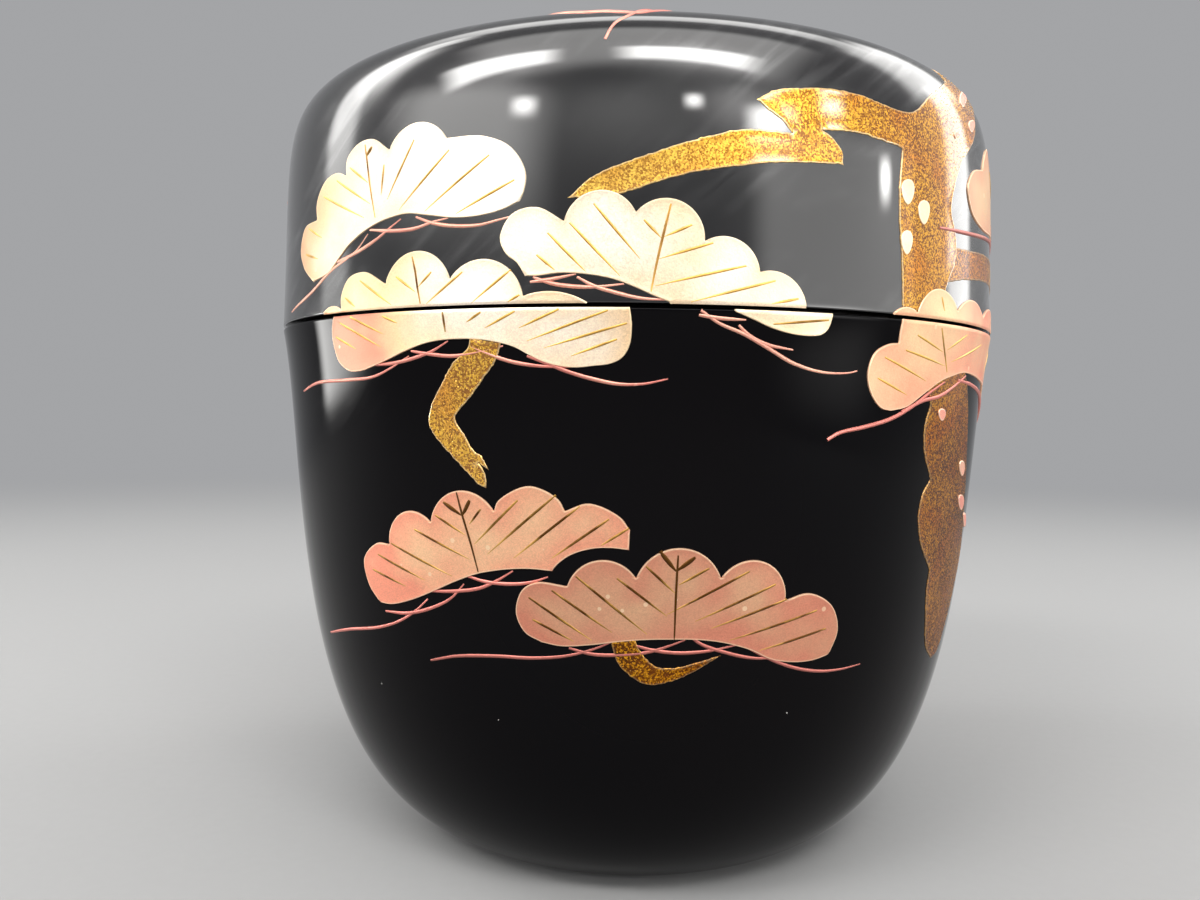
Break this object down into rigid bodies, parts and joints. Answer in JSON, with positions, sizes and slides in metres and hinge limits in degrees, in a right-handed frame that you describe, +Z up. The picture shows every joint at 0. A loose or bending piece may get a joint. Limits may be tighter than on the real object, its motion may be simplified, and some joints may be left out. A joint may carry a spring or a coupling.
{
  "type": "lacquer tea caddy",
  "caption": "Round lacquered tea caddy with a flush domed lid that lifts straight off an inner collar, ornamented in sprinkled gold.",
  "frame": {"origin": "centre of the foot ring, on the surface that the caddy stands on", "axes": "+Z up along the turning axis; -Y towards the side with the pictured picture"},
  "size_m": [0.066, 0.066, 0.069],
  "materials": {
    "body_lacquer": "turned wood under mirror-polished black lacquer",
    "lid_lacquer": "turned wood under mirror-polished black lacquer",
    "collar_lacquer": "thin turned wood under plain black lacquer",
    "gold_powder": "gold powder sprinkled over slightly raised lacquer",
    "salmon_powder": "salmon-gold powder sprinkled over slightly raised lacquer",
    "vein_lacquer": "fine dark brown lacquer lines"
  },
  "bodies": {
    "body": {"body": "body_lacquer", "mouth_collar": "collar_lacquer"},
    "lid": {"lid": "lid_lacquer"}
  },
  "joints": [
    {"name": "lid_lift", "type": "slide", "parent": "body", "child": "lid", "axis": [0, 0, 1], "range_m": [0, 0.04]}
  ]
}
